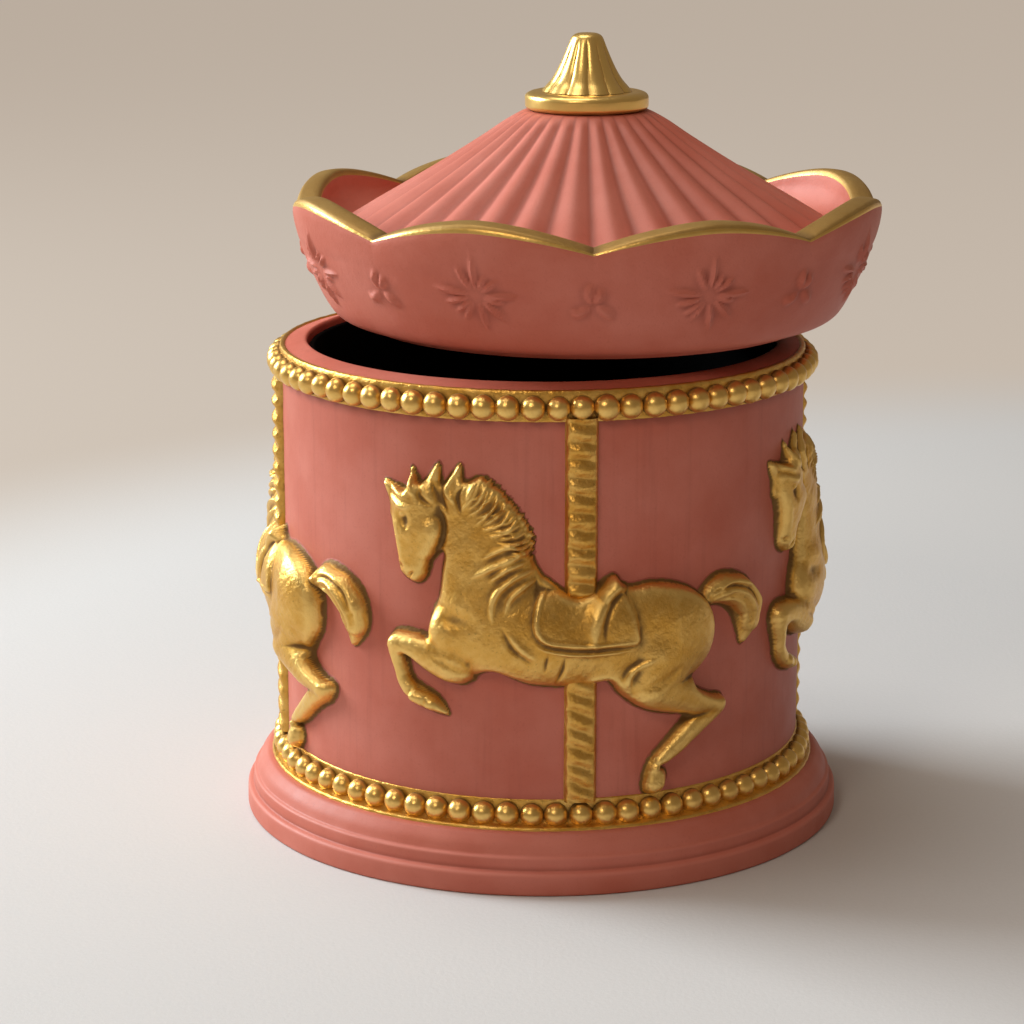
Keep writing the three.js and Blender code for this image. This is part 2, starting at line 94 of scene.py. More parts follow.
def ease(value, low, high):
    """0 up to low, 1 from high on, smooth between them."""
    part = np.clip((value - low) / (high - low), 0, 1)
    return part * part * (3 - 2 * part)


def ripple(a, b, seed=0.0):
    """A smooth, uneven wave over two coordinates, between about -1 and 1."""
    wave = np.sin(a * 1.0 + 1.7 * np.sin(b * 0.7 + seed) + seed)
    wave = wave + np.sin(b * 1.3 + 1.9 * np.sin(a * 0.6 - seed) + 2.1 * seed)
    wave = wave + 0.7 * np.sin(a * 2.3 - b * 1.9 + 3.3 * seed)
    return wave / 2.7


def spline(points, steps, closed=False):
    """A smooth curve through the points."""
    points = np.array(points, float)
    if closed:
        padded = np.concatenate([points[-1:], points, points[:2]])
    else:
        before = 2 * points[:1] - points[1:2]
        after = 2 * points[-1:] - points[-2:-1]
        padded = np.concatenate([before, points, after])
    out = []
    for p0, p1, p2, p3 in zip(padded, padded[1:], padded[2:], padded[3:]):
        for t in np.arange(steps) / steps:
            bend = (2 * p0 - 5 * p1 + 4 * p2 - p3) * t + (3 * p1 - p0 - 3 * p2 + p3) * t * t
            out.append(p1 + 0.5 * t * (p2 - p0 + bend))
    if not closed:
        out.append(points[-1])
    return np.array(out)


def rounded(corners, steps=5):
    """A closed outline of (radius, height, fillet) corners, each rounded by its fillet."""
    out = []
    count = len(corners)
    for i, (x, y, fillet) in enumerate(corners):
        here = np.array([x, y], float)
        before = np.array(corners[i - 1][:2]) - here
        after = np.array(corners[(i + 1) % count][:2]) - here
        reach_before, reach_after = np.linalg.norm(before), np.linalg.norm(after)
        cut = min(fillet, 0.48 * reach_before, 0.48 * reach_after)
        if cut < 0.01:
            out.append(here)
            continue
        start = here + before / reach_before * cut
        end = here + after / reach_after * cut
        for t in np.linspace(0, 1, steps):
            out.append((1 - t) ** 2 * start + 2 * t * (1 - t) * here + t * t * end)
    return np.array(out)


def divided(outline, longest):
    """A closed outline with its long sides cut into steps no longer than the given length."""
    out = []
    for start, end in zip(outline, np.roll(outline, -1, axis=0)):
        parts = max(1, math.ceil(np.linalg.norm(end - start) / longest))
        out.extend(start + (end - start) * i / parts for i in range(parts))
    return np.array(out)


def to_segment(x, y, start, end):
    """How far each point is from a segment, and how far along it the nearest place lies."""
    dx, dy = end[0] - start[0], end[1] - start[1]
    along = np.clip(((x - start[0]) * dx + (y - start[1]) * dy) / (dx * dx + dy * dy + 1e-12), 0, 1)
    return np.hypot(x - start[0] - along * dx, y - start[1] - along * dy), along


def depth_inside(x, y, outline):
    """Distance to a closed outline, positive inside it."""
    nearest = np.full(x.shape, 1e9)
    inside = np.zeros(x.shape, bool)
    for start, end in zip(outline, np.roll(outline, -1, axis=0)):
        nearest = np.minimum(nearest, to_segment(x, y, start, end)[0])
        if start[1] != end[1]:
            crosses = (start[1] > y) != (end[1] > y)
            edge = (end[0] - start[0]) * (y - start[1]) / (end[1] - start[1]) + start[0]
            inside ^= crosses & (x < edge)
    return np.where(inside, nearest, -nearest)


def limb(x, y, stations):
    """Height of a rounded limb through stations of (x, y, radius, height)."""
    height = np.zeros(x.shape)
    for start, end in zip(stations, stations[1:]):
        distance, along = to_segment(x, y, start, end)
        radius = start[2] + along * (end[2] - start[2])
        crown = start[3] + along * (end[3] - start[3])
        dome = crown * np.clip(1 - (distance / radius) ** 2.3, 0, None) ** 0.62
        height = np.maximum(height, dome)
    return height


def melt(a, b, reach):
    """The higher of two heights, with a fillet where they meet."""
    return np.maximum(a, b) + np.clip(reach - np.abs(a - b), 0, None) ** 2 / (4 * reach)


def stroke(x, y, points, width, height):
    """A raised line through points, tapered to its ends. A negative height engraves it."""
    path = spline(points, 5)
    steps = np.hypot(*np.diff(path, axis=0).T)
    total = steps.sum()
    done = 0.0
    line = np.zeros(x.shape)
    for start, end, step in zip(path, path[1:], steps):
        distance, along = to_segment(x, y, start, end)
        place = (done + along * step) / total
        taper = np.sin(math.pi * np.clip(place, 0.02, 0.98)) ** 0.6
        breadth = width * (0.3 + 0.7 * taper)
        line = np.maximum(line, taper * np.exp(-((distance / breadth) ** 2)))
        done += step
    return height * line


def softened(field, rounds):
    """A grid of heights averaged with its neighbours."""
    for _ in range(rounds):
        padded = np.pad(field, 1, mode="edge")
        sides = padded[2:, 1:-1] + padded[:-2, 1:-1] + padded[1:-1, 2:] + padded[1:-1, :-2]
        field = (field + sides) / 5
    return field


# ---------------------------------------------------------------- meshes


def polar(radius, angle, height):
    """Points at a radius and an angle round the Z axis."""
    x, y = radius * np.sin(angle), -radius * np.cos(angle)
    return np.stack(np.broadcast_arrays(x, y, height), -1)


def swept(outline, columns):
    """Radius, angle and height of an outline's points at each of so many steps round the Z axis."""
    turns = np.arange(columns) / columns * TURN
    radius, angle = np.meshgrid(outline[:, 0], turns, indexing="ij")
    return radius, angle, np.broadcast_to(outline[:, 1:2], radius.shape)


def grid_faces(rows, columns, wrap_rows=False, wrap_columns=False):
    """The quads between neighbouring points of a grid."""
    row, column = np.meshgrid(
        np.arange(rows if wrap_rows else rows - 1),
        np.arange(columns if wrap_columns else columns - 1),
        indexing="ij",
    )
    up, on = (row + 1) % rows, (column + 1) % columns
    corners = [row * columns + column, row * columns + on, up * columns + on, up * columns + column]
    return np.stack(corners, -1).reshape(-1, 4)


def add_piece(name, points, faces, look, body, slot, nodes=(), crease=40, **layers):
    """A mesh piece that rides on a body and stands for CAD nodes. Layers are values per point."""
    mesh = bpy.data.meshes.new(name)
    corners = np.asarray(points).reshape(-1, 3) * MM
    mesh.from_pydata(corners.tolist(), [], np.asarray(faces).tolist())
    for key, values in layers.items():
        attribute = mesh.attributes.new(key, "FLOAT", "POINT")
        attribute.data.foreach_set("value", np.asarray(values, np.float32).ravel())
    mesh.materials.append(look)
    mesh.shade_smooth()
    mesh.set_sharp_from_angle(angle=math.radians(crease))
    piece = bpy.data.objects.new(name, mesh)
    bpy.context.scene.collection.objects.link(piece)
    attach(piece, body)
    if nodes:
        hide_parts(*nodes)
    return piece


def turned(name, outline, look, slot, nodes, columns=288, waver=0.0, seed=0.0, **layers):
    """A closed outline of (radius, height) points turned round the Z axis, as part of the box."""
    radius, angle, height = swept(outline, columns)
    radius = radius + waver * ripple(angle * 9, height * 0.35, seed)
    faces = grid_faces(*radius.shape, wrap_rows=True, wrap_columns=True)
    full = {key: np.broadcast_to(value[:, None], radius.shape) for key, value in layers.items()}
    return add_piece(name, polar(radius, angle, height), faces, look, "box", slot, nodes, **full)


def relief(name, across, height, angle, look, slot, nodes, **layers):
    """A grid of heights wrapped onto the drum's wall, without the parts that lie under it."""
    x, z = across
    points = polar(WALL + height, angle + x / RELIEF_GAUGE, z).reshape(-1, 3)
    faces = grid_faces(*height.shape)
    faces = faces[height.ravel()[faces].max(axis=1) > -0.3]
    used, faces = np.unique(faces, return_inverse=True)
    faces = faces.reshape(-1, 4)
    kept = {key: value.ravel()[used] for key, value in layers.items()}
    return add_piece(name, points[used], faces, look, "box", slot, nodes, crease=75, **kept)


# ---------------------------------------------------------------- materials


def node(tree, kind, inputs, **settings):
    """A shader node with its settings, and its inputs as numbers or as links."""
    made = tree.nodes.new(kind)
    for key, value in settings.items():
        setattr(made, key, value)
    for key, value in inputs.items():
        if isinstance(value, bpy.types.NodeSocket):
            tree.links.new(value, made.inputs[key])
        else:
            made.inputs[key].default_value = value
    return made


def noise(tree, scale, detail=3.0, roughness=0.55, stretch=(1, 1, 1)):
    """Noise with so many features to the metre, fixed to the piece."""
    place = node(tree, "ShaderNodeTexCoord", {}).outputs["Object"]
    place = node(tree, "ShaderNodeMapping", {"Vector": place, "Scale": stretch}).outputs[0]
    inputs = {"Vector": place, "Scale": scale, "Detail": detail, "Roughness": roughness}
    return node(tree, "ShaderNodeTexNoise", inputs).outputs[0]


def layer(tree, name):
    """A value stored at the points of the mesh."""
    return node(tree, "ShaderNodeAttribute", {}, attribute_name=name).outputs["Fac"]


def ramp(tree, value, low, high):
    """0 where the value is under low, 1 where it is over high, smooth between them."""
    inputs = {"Value": value, "From Min": low, "From Max": high}
    return node(tree, "ShaderNodeMapRange", inputs, interpolation_type="SMOOTHSTEP").outputs[0]


def math_node(tree, operation, a, b):
    """One sum or product of two values."""
    return node(tree, "ShaderNodeMath", {0: a, 1: b}, operation=operation).outputs[0]


def mix_colour(tree, factor, a, b):
    """Colour a where the factor is 0, b where it is 1."""
    return node(tree, "ShaderNodeMix", {0: factor, 6: a, 7: b}, data_type="RGBA").outputs[2]


def mix_value(tree, factor, a, b):
    """Value a where the factor is 0, b where it is 1."""
    return node(tree, "ShaderNodeMix", {0: factor, 2: a, 3: b}, data_type="FLOAT").outputs[0]


def bump(tree, height, distance, strength=1.0, under=None):
    """The normal of a fine relief, so many metres high, over another normal or the mesh's own."""
    inputs = {"Height": height, "Distance": distance, "Strength": strength}
    if under is not None:
        inputs["Normal"] = under
    return node(tree, "ShaderNodeBump", inputs).outputs[0]


def new_look(name):
    """An empty material and its nodes."""
    look = bpy.data.materials.new(name)
    look.use_nodes = True
    look.node_tree.nodes.clear()
    return look, look.node_tree


def surface(tree, inputs):
    """The material's surface, from the inputs of its shader."""
    shader = node(tree, "ShaderNodeBsdfPrincipled", inputs)
    node(tree, "ShaderNodeOutputMaterial", {"Surface": shader.outputs[0]})


PINK = (0.53, 0.124, 0.076, 1)
PINK_PALE = (0.62, 0.185, 0.132, 1)
PINK_DEEP = (0.26, 0.050, 0.028, 1)
GOLD = (0.68, 0.355, 0.062, 1)
GOLD_PALE = (0.94, 0.64, 0.21, 1)
GOLD_DEEP = (0.105, 0.047, 0.013, 1)


def pink_colour(tree, streaks):
    """Painted resin: mottled, finely grained, and with faint brush streaks down the wall."""
    colour = mix_colour(tree, ramp(tree, noise(tree, 45, 4), 0.3, 0.75), PINK, PINK_PALE)
    grain = ramp(tree, noise(tree, 1900, 2), 0.55, 0.8)
    colour = mix_colour(tree, math_node(tree, "MULTIPLY", grain, 0.16), colour, PINK_DEEP)
    lines = ramp(tree, noise(tree, 420, 3, 0.6, (1, 1, 0.05)), 0.5, 0.75)
    return mix_colour(tree, math_node(tree, "MULTIPLY", lines, streaks), colour, PINK_DEEP)


def gold_colour(tree):
    """Antique gilt paint: paler in soft clouds and flecked with brown specks."""
    cloud = ramp(tree, noise(tree, 160, 4, 0.6), 0.3, 0.75)
    colour = mix_colour(tree, math_node(tree, "MULTIPLY", cloud, 0.45), GOLD, GOLD_PALE)
    speck = ramp(tree, noise(tree, 1300, 3, 0.65), 0.56, 0.8)
    return mix_colour(tree, math_node(tree, "MULTIPLY", speck, 0.42), colour, GOLD_DEEP)


def resin_look(name, streaks=0.0):
    """Pink resin all over, with painted shade in its hollows and painted highlights on its crests.
    """
    look, tree = new_look(name)
    colour = pink_colour(tree, streaks)
    # painted shade where the layer "hollow" is over 0, painted highlights where it is under 0
    hollow = math_node(tree, "MULTIPLY", ramp(tree, layer(tree, "hollow"), 0.0, 1.0), 0.7)
    colour = mix_colour(tree, hollow, colour, PINK_DEEP)
    raised = math_node(tree, "MULTIPLY", ramp(tree, layer(tree, "hollow"), 0.0, -1.0), 0.8)
    colour = mix_colour(tree, raised, colour, PINK_PALE)
    relief_normal = bump(tree, noise(tree, 300, 3), 0.00012, 0.35)
    relief_normal = bump(tree, noise(tree, 2400, 2), 0.00004, 0.5, relief_normal)
    roughness = mix_value(tree, noise(tree, 260, 3), 0.46, 0.66)
    surface(tree, {"Base Color": colour, "Roughness": roughness, "Normal": relief_normal,
                   "Specular IOR Level": 0.5})
    return look


def gilded_look(name, ragged=0.5, polish=0.0):
    """Gilt paint over pink resin: gold where the layer "gilt" is over 0, with a ragged edge.

    The layer "hollow" runs from -1, a painted highlight, to 1, painted shade in dark brown; on the
    lid's rim it also makes the gilt browner.
    """
    look, tree = new_look(name)
    tatter = math_node(tree, "MULTIPLY_ADD", noise(tree, 900, 3, 0.6), ragged)
    tatter.node.inputs[2].default_value = -ragged / 2
    gilt = ramp(tree, math_node(tree, "ADD", layer(tree, "gilt"), tatter), -0.04, 0.06)
    hollow = ramp(tree, layer(tree, "hollow"), 0.0, 1.0)
    raised = ramp(tree, layer(tree, "hollow"), 0.0, -1.0)
    gold = mix_colour(tree, polish, gold_colour(tree), GOLD_PALE)
    # painted shade in the hollows of the gold and of the pink beside it, painted highlights on the
    # gold's crests
    gold = mix_colour(tree, math_node(tree, "MULTIPLY", hollow, 0.85), gold, GOLD_DEEP)
    gold = mix_colour(tree, math_node(tree, "MULTIPLY", raised, 0.7), gold, GOLD_PALE)
    shaded = math_node(tree, "MULTIPLY", hollow, 0.8)
    pink = mix_colour(tree, shaded, pink_colour(tree, 0.0), PINK_DEEP)
    hammered = bump(tree, noise(tree, 520, 3, 0.6), 0.00030, 0.5 * (1 - polish))
    hammered = bump(tree, noise(tree, 1500, 3, 0.6), 0.00019, 0.75 * (1 - polish) ** 2, hammered)
    roughness = mix_value(tree, noise(tree, 700, 3, 0.6), 0.27, 0.45 - 0.13 * polish)
    roughness = mix_value(tree, hollow, roughness, 0.6)
    surface(tree, {
        "Base Color": mix_colour(tree, gilt, pink, gold),
        "Metallic": mix_value(tree, gilt, 0.0, mix_value(tree, hollow, 0.92, 0.45)),
        "Roughness": mix_value(tree, gilt, 0.56, roughness),
        "Normal": hammered,
        "Specular IOR Level": 0.4,
    })
    return look


def flock_look(name, colour, tip):
    """Short dense pile: a dark ground mottled with paler tips."""
    look, tree = new_look(name)
    pile = ramp(tree, noise(tree, 2600, 4, 0.7), 0.35, 0.7)
    shade = math_node(tree, "MULTIPLY", ramp(tree, noise(tree, 120, 3), 0.3, 0.7), pile)
    normal = bump(tree, noise(tree, 3200, 3, 0.7), 0.00025, 0.8)
    surface(tree, {"Base Color": mix_colour(tree, shade, colour, tip), "Roughness": 0.95,
                   "Normal": normal, "Specular IOR Level": 0.05})
    return look


def metal_look(name, colour, worn, roughness):
    """Turned or pressed metal: fine scratches, and duller patches."""
    look, tree = new_look(name)
    cloud = ramp(tree, noise(tree, 180, 4, 0.6), 0.35, 0.7)
    scratch = noise(tree, 900, 3, 0.6, (1, 0.08, 1))
    normal = bump(tree, scratch, 0.00003, 0.5)
    rough = mix_value(tree, cloud, roughness, roughness + 0.18)
    surface(tree, {"Base Color": mix_colour(tree, cloud, colour, worn), "Metallic": 1.0,
                   "Roughness": rough, "Normal": normal})
    return look


def board_look(name):
    """Grey-brown card: fibres and specks."""
    look, tree = new_look(name)
    fibre = ramp(tree, noise(tree, 700, 5, 0.7, (1, 0.2, 1)), 0.35, 0.7)
    colour = mix_colour(tree, fibre, (0.20, 0.14, 0.09, 1), (0.33, 0.25, 0.17, 1))
    normal = bump(tree, noise(tree, 1500, 4, 0.7), 0.00008, 0.6)
    surface(tree, {"Base Color": colour, "Roughness": 0.85, "Normal": normal})
    return look


PINK_WALL = resin_look("pink_wall", 0.16)
PINK_SMOOTH = resin_look("pink_smooth")
GILDED = gilded_look("antique_gilt")
GILDED_EVEN = gilded_look("antique_gilt_even", 0.12, 0.4)
GILDED_BRIGHT = gilded_look("bright_gilt", 0.12, 0.7)
BLACK_FLOCK = flock_look("black_flock", (0.002, 0.0018, 0.0018, 1), (0.006, 0.0055, 0.0055, 1))
BROWN_FELT = flock_look("brown_felt", (0.10, 0.05, 0.028, 1), (0.17, 0.09, 0.05, 1))
BOARD = board_look("grey_board")
BRASS = metal_look("brass", (0.72, 0.50, 0.20, 1), (0.50, 0.33, 0.13, 1), 0.22)
STEEL = metal_look("steel", (0.62, 0.61, 0.60, 1), (0.42, 0.41, 0.40, 1), 0.25)


# ---------------------------------------------------------------- plinth, drum and well

plinth = divided(rounded([
    (66.5, 0.0, 0.3),
    (70.0, 0.0, 0.7),
    (70.0, 4.9, 1.1),
    (68.6, 5.4, 0.3),
    (68.5, 8.2, 0.6),
    (67.7, 8.6, 0.3),
    (67.0, 10.8, 2.4),
    (65.2, 12.7, 1.4),
    (64.0, PLINTH_TOP, 0.5),
    (57.0, PLINTH_TOP, 0.3),
    (57.0, 3.6, 0.3),
    (66.5, 3.6, 0.3),
]), 2.0)


def near_corner(outline, radius, height, wide, tall):
    """1 at a corner of an outline, falling to 0 away from it."""
    across, along = (outline[:, 0] - radius) / wide, (outline[:, 1] - height) / tall
    return np.exp(-(across**2 + along**2))


# The step between the two bands has painted shade, and both edges have painted highlights.
plinth_hollow = (
    0.6 * near_corner(plinth, 68.6, 5.6, 0.4, 0.4)
    - near_corner(plinth, 69.7, 4.7, 0.7, 0.7)
    - near_corner(plinth, 68.3, 8.2, 0.4, 0.5)
)
turned("plinth_ring", plinth, PINK_SMOOTH, "pink_resin", ["plinth"],
       waver=0.07, seed=1.0, hollow=plinth_hollow)

drum = divided(rounded([
    (WALL, drum_low[2], 0.0),
    (WALL, DRUM_TOP - 2.6, 0.5),
    (WALL - 0.4, DRUM_TOP - 1.5, 0.5),
    (54.3, DRUM_TOP, 1.0),
    (54.1, DRUM_TOP - 7.5, 0.3),
    (55.4, DRUM_TOP - 9.0, 0.3),
    (55.4, drum_low[2], 0.0),
]), 2.5)
# The wall has painted shade along both bead rings, where they meet it.
drum_foot = np.exp(-((drum[:, 1] - 19.0) / 1.2) ** 2) + np.exp(-((drum[:, 1] - 103.8) / 0.9) ** 2)
turned("drum_wall", drum, PINK_WALL, "pink_resin", ["drum_shell"],
       waver=0.05, seed=2.0, hollow=np.where(drum[:, 0] > 60, drum_foot * 0.8, 0))

well = divided(rounded([
    (53.8, liner_low[2], 0.5),
    (53.8, liner_high[2], 0.5),
    (52.6, liner_high[2], 0.5),
    (52.6, liner_low[2] + 1.2, 3.0),
    (0.4, liner_low[2] + 1.2, 0.0),
    (0.4, liner_low[2], 0.0),
]), 4.0)
turned("well_cup", well, BLACK_FLOCK, "black_flock", ["well_liner"], columns=144)


# ---------------------------------------------------------------- bead rings


def bead_ring(name, centre_z, strip, seed, node_name):
    """A string of slightly uneven beads sunk into a gilded strip."""
    ball = bmesh.new()
    bmesh.ops.create_icosphere(ball, subdivisions=3, radius=1.0)
    unit = np.array([v.co for v in ball.verts])
    ball_faces = np.array([[v.index for v in f.verts] for f in ball.faces])
    ball.free()
    chance = np.random.default_rng(seed)
    points, hollows = [], []
    for i in range(BEADS):
        angle = (i + 0.5) / BEADS * TURN + chance.normal(0, 0.0016)
        size = BEAD_RADIUS * (1 + chance.normal(0, 0.016))
        out, side, up = -unit[:, 1], unit[:, 0], unit[:, 2]
        lump = 1 + 0.02 * ripple(unit[:, 0] * 3 + i, unit[:, 2] * 3, seed + i)
        radius = BEAD_CENTRE + chance.normal(0, 0.10) + size * out * lump
        spot = polar(radius, angle, centre_z + chance.normal(0, 0.08) + size * up * lump)
        tangent = np.array([math.cos(angle), math.sin(angle), 0])
        points.append(spot + np.outer(side * size * 0.985 * lump, tangent))
        # painted shade on each bead's sides towards the wall and its neighbours, painted highlight
        # on its front
        hollows.append(0.9 * np.clip(1.0 - 3.4 * out, 0, 1) - 0.5 * ease(out, 0.4, 0.9))
    count = len(unit)
    faces = np.concatenate([ball_faces + count * i for i in range(BEADS)])
    add_piece(name + "_beads", np.concatenate(points), faces, GILDED_EVEN, "box", "antique_gold",
              [node_name], hollow=np.concatenate(hollows), gilt=np.ones(count * BEADS))

    radius, angle, height = swept(divided(rounded(strip, 4), 0.6), BEADS * 10)
    between = 0.5 + 0.5 * np.cos(angle * BEADS)
    worn = ripple(angle * 130, height * 2.2, seed)
    radius = radius + 0.05 * worn - 0.25 * between * np.exp(-(((height - centre_z) / 2.4) ** 2))
    height = height + 0.05 * ripple(angle * 95, radius * 1.5, seed + 4)
    # painted shade on the strip along the beads; its lumps (worn) get painted highlights and the
    # dips between them painted shade
    near = np.exp(-(((height - centre_z) / 1.5) ** 2))
    faces = grid_faces(*radius.shape, wrap_rows=True, wrap_columns=True)
    add_piece(name + "_strip", polar(radius, angle, height), faces, GILDED, "box", "antique_gold",
              hollow=0.8 * near - 0.2 * worn * (1 - near), gilt=np.ones(radius.shape))


bead_ring("upper_ring", UPPER_BEAD_Z, [
    (60.0, 103.7, 0.0),
    (60.7, 103.6, 0.3),
    (60.8, 104.6, 0.6),
    (60.8, 108.8, 0.8),
    (60.75, 109.7, 0.5),
    (60.45, 110.45, 0.3),
    (59.75, 110.55, 0.2),
    (59.2, 110.0, 0.0),
], 3, "upper_bead_ring")

bead_ring("lower_ring", PLINTH_TOP + 2.75, [
    (60.0, 19.2, 0.0),
    (60.7, 19.1, 0.3),
    (60.8, 17.8, 0.8),
    (61.1, 15.2, 1.0),
    (62.5, 13.9, 0.8),
    (64.1, 13.55, 0.4),
    (64.2, 12.4, 0.2),
    (60.0, 12.6, 0.0),
], 5, "lower_bead_ring")


# ---------------------------------------------------------------- poles

POLE_HALF_WIDTH = 3.5
POLE_CORE = 3.2  # half the width that the bumps take up
POLE_BACK = 1.1  # height of the plain margins
POLE_CELL = 0.2


def pole_heights(low, high, pitch, slope, depth):
    """A pole with slanting, rope-like bumps between two plain margins, and its layers."""
    x, z = np.meshgrid(np.arange(-4.4, 4.41, POLE_CELL), np.arange(low, high + 0.1, POLE_CELL))
    x = x + 0.12 * ripple(z * 0.9, z * 0.4, low)
    side = POLE_HALF_WIDTH - np.abs(x)
    base = POLE_BACK * np.sqrt(np.clip(1 - (1 - np.clip(side / 0.8, 0, 1)) ** 2, 0, 1))
    phase = (z + slope * x + 0.25 * ripple(z * 0.8, x * 0.7, high)) * TURN / pitch
    rope = (0.5 + 0.5 * np.cos(phase)) ** 0.8
    core = np.clip(1 - (np.abs(x) / POLE_CORE) ** 2.4, 0, 1) ** 0.6
    height = base + core * (0.3 + depth * rope)
    height = height + 0.03 * ripple(x * 2.5, z * 2.1, low)
    height = np.where(side < 0, 0.12 + side * 0.9, height)
    # painted shade where the pole lies lower than round about, in its grooves and at its foot, and
    # painted highlights where it stands higher
    hollow = np.clip((softened(height, 10) - height) * 1.6 + 0.1, -1, 1)
    gilt = 1.4 * (side + 0.30) + 0.25 * ripple(x * 2, z * 3, 1.0)
    return (x, z), height, hollow, gilt


UPPER_POLE = pole_heights(63.0, 104.6, 3.9, 0.12, 0.95)
LOWER_POLE = pole_heights(18.6, 47.0, 4.1, 0.42, 0.75)


# ---------------------------------------------------------------- horses

# A galloping horse in half relief. Its outline runs from the forelock along the back and round
# the legs to the face; x is measured along the wall from the pole, towards the tail.
CREST = [(-44.8, 88.9), (-38.7, 87.9), (-37.8, 92.6), (-35.1, 89.4), (-31.4, 94.0), (-30.3, 89.4),
         (-26.5, 94.0), (-25.4, 90.4), (-21.8, 91.6), (-19.5, 90.6), (-16.6, 88.0), (-13.2, 83.9),
         (-10.4, 78.6), (-10.6, 74.6), (-8.7, 70.6)]
SADDLE_TOP = [(-7.2, 69.4), (-4.9, 67.6), (-1.8, 65.7), (0.6, 65.9), (3.4, 67.5), (5.4, 69.2),
              (7.3, 69.8), (8.9, 68.0)]
CROUP = [(11.3, 67.2), (15.4, 67.7), (19.5, 67.2), (23.5, 66.0), (26.9, 64.1), (29.5, 61.4),
         (30.8, 57.6), (30.8, 53.5), (30.0, 50.2), (26.2, 44.6)]
HIND_LEG = [(27.2, 42.2), (31.0, 40.2), (34.6, 39.2), (35.2, 37.2), (33.4, 34.5), (29.8, 32.5),
            (26.3, 29.9), (23.0, 27.5), (19.6, 25.8), (18.0, 25.2), (19.6, 24.2), (19.9, 21.8),
            (17.6, 19.2), (15.4, 19.0), (14.0, 20.4), (14.3, 23.8), (16.0, 27.4), (19.6, 31.0),
            (22.8, 34.0), (24.6, 36.2), (20.5, 37.1), (16.0, 38.2), (11.8, 40.2), (8.2, 43.2),
            (5.7, 46.2)]
BELLY = [(1.5, 45.5), (-4.6, 45.1), (-11.0, 45.6), (-15.6, 47.3), (-18.8, 48.4), (-21.8, 47.8),
         (-23.6, 45.9)]
FORE_LEG = [(-26.0, 44.9), (-30.0, 45.6), (-34.0, 47.3), (-37.8, 50.2), (-39.0, 50.0),
            (-38.5, 47.2), (-37.3, 44.8), (-34.4, 43.2), (-31.6, 41.6), (-29.9, 39.4),
            (-29.4, 37.5), (-33.0, 38.1), (-36.6, 39.2), (-39.4, 40.9), (-41.2, 43.4),
            (-42.1, 47.1), (-43.4, 50.5), (-43.6, 53.2), (-42.4, 55.2), (-40.2, 56.1),
            (-36.4, 55.9), (-33.6, 55.6)]
FACE = [(-33.5, 57.4), (-32.7, 61.1), (-31.2, 64.4), (-30.5, 69.8), (-29.9, 74.0), (-31.2, 74.2),
        (-33.0, 72.0), (-34.0, 68.8), (-35.8, 66.9), (-38.0, 67.2), (-40.2, 68.6), (-41.0, 71.0),
        (-41.3, 75.6), (-42.0, 79.0), (-43.3, 81.4), (-43.5, 84.6)]
TAIL = [(27.6, 62.4), (29.8, 65.5), (33.4, 67.2), (38.2, 66.7), (43.0, 64.3), (45.6, 60.6),
        (46.4, 56.3), (45.2, 52.8), (41.4, 49.4), (39.7, 52.7), (38.3, 56.0), (36.2, 58.6),
        (33.4, 60.0), (30.2, 60.4)]
FLAP = [(-7.4, 69.0), (-9.4, 66.2), (-10.4, 62.4), (-10.1, 58.6), (-8.2, 56.2), (-4.2, 55.1),
        (1.0, 54.6), (6.0, 54.8), (11.2, 55.2), (10.9, 59.1), (9.9, 63.6), (8.6, 67.4),
        (6.6, 70.5), (0.0, 70.5)]
# The rounded bodies under the relief: stations of (x, z, radius, height).
SHAPES = {
    "torso": [(-27.0, 56.5, 7.5, 5.6), (-20.0, 56.3, 9.8, 6.0), (-10.0, 56.2, 11.2, 5.8),
              (5.0, 56.0, 10.6, 5.2)],
    "rump": [(12.0, 55.8, 12.6, 4.9), (20.0, 56.2, 12.6, 6.6)],
    "neck": [(-20.0, 60.0, 12.6, 5.4), (-20.8, 74.0, 10.8, 4.1), (-23.4, 83.5, 10.0, 2.9)],
    "head": [(-36.8, 85.0, 6.6, 4.0), (-36.4, 78.5, 5.9, 4.2), (-37.2, 71.5, 4.4, 3.3),
             (-36.6, 69.6, 3.4, 3.0)],
    "jaw": [(-33.4, 79.0, 4.8, 4.2), (-34.4, 75.0, 3.2, 3.5)],
    "thigh": [(18.0, 51.0, 9.8, 6.6), (16.0, 44.8, 7.0, 6.0), (25.0, 40.2, 4.6, 4.8),
              (32.0, 38.0, 3.2, 4.0)],
    "flank": [(5.5, 50.0, 7.0, 4.2), (11.0, 47.0, 6.5, 4.3), (15.0, 45.0, 6.0, 4.6)],
    "hock": [(31.6, 37.4, 3.3, 3.8), (24.0, 31.3, 2.9, 3.0), (18.4, 26.6, 2.6, 2.8)],
    "hind_hoof": [(17.4, 25.0, 2.3, 2.6), (16.8, 21.6, 3.2, 3.3)],
    "forearm": [(-28.0, 50.4, 6.2, 5.4), (-36.0, 52.4, 4.1, 4.4), (-40.8, 52.8, 3.4, 4.0)],
    "shin": [(-40.9, 51.0, 2.9, 3.6), (-40.2, 45.4, 2.4, 2.8), (-38.2, 42.6, 2.5, 2.8)],
    "fore_hoof": [(-36.6, 41.2, 2.3, 3.4), (-33.0, 39.8, 2.3, 3.0), (-30.2, 38.2, 1.5, 1.6)],
    "cantle": [(5.0, 65.8, 2.2, 4.0), (7.5, 68.0, 2.8, 4.1)],
    "tail": [(28.0, 62.4, 2.4, 2.4), (33.5, 63.6, 3.8, 3.6), (38.5, 62.4, 4.4, 4.2),
             (42.0, 59.0, 4.4, 4.0), (42.8, 55.0, 3.7, 3.2), (41.6, 50.4, 1.4, 1.4)],
}
